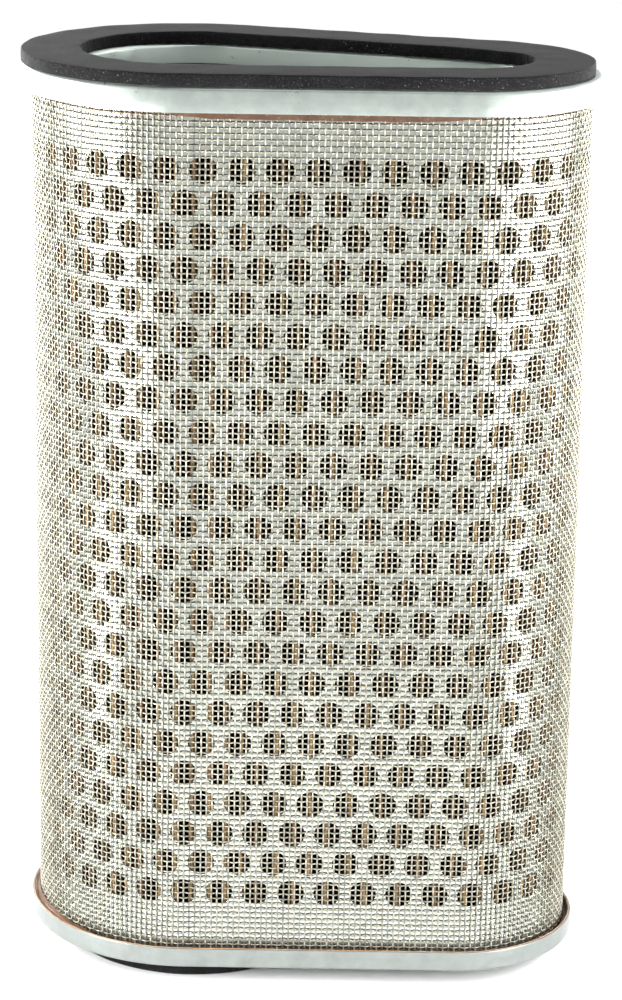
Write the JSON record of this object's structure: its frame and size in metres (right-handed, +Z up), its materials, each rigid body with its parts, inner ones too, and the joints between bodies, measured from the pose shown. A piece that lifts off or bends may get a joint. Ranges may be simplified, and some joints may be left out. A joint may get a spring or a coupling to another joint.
{
  "type": "oblong air filter element",
  "caption": "Tall oblong pleated-paper air filter in a perforated steel and wire-cloth canister, with stamped end caps, a foam gasket round the top outlet and a foam pad below.",
  "frame": {"origin": "centre of the plan box of the part, at the underside of the foam pad", "axes": "+Z up the canister towards the outlet, X along the long side of the plan with the wide round end at -X, Y across the short side"},
  "size_m": [0.126, 0.0745, 0.2051],
  "materials": {
    "black_foam": "matt closed-cell foam",
    "adhesive_film": "thin double-sided film",
    "galvanised_steel": "satin galvanised sheet",
    "brown_adhesive": "semi-gloss hard potting adhesive",
    "wire_cloth": "bright plain-weave wire",
    "perforated_steel": "semi-gloss galvanised sheet with round holes",
    "filter_paper": "matt resin-treated paper"
  },
  "bodies": {
    "root": {"bottom_foam_pad": "black_foam", "pad_adhesive_film": "adhesive_film", "bottom_end_cap": "galvanised_steel", "bottom_potting_adhesive": "brown_adhesive", "outer_wire_cloth": "wire_cloth", "outer_perforated_sleeve": "perforated_steel", "pleated_paper": "filter_paper", "inner_perforated_core": "perforated_steel", "top_potting_adhesive": "brown_adhesive", "top_end_cap": "galvanised_steel", "gasket_adhesive_film": "adhesive_film", "top_foam_gasket": "black_foam"}
  },
  "joints": []
}
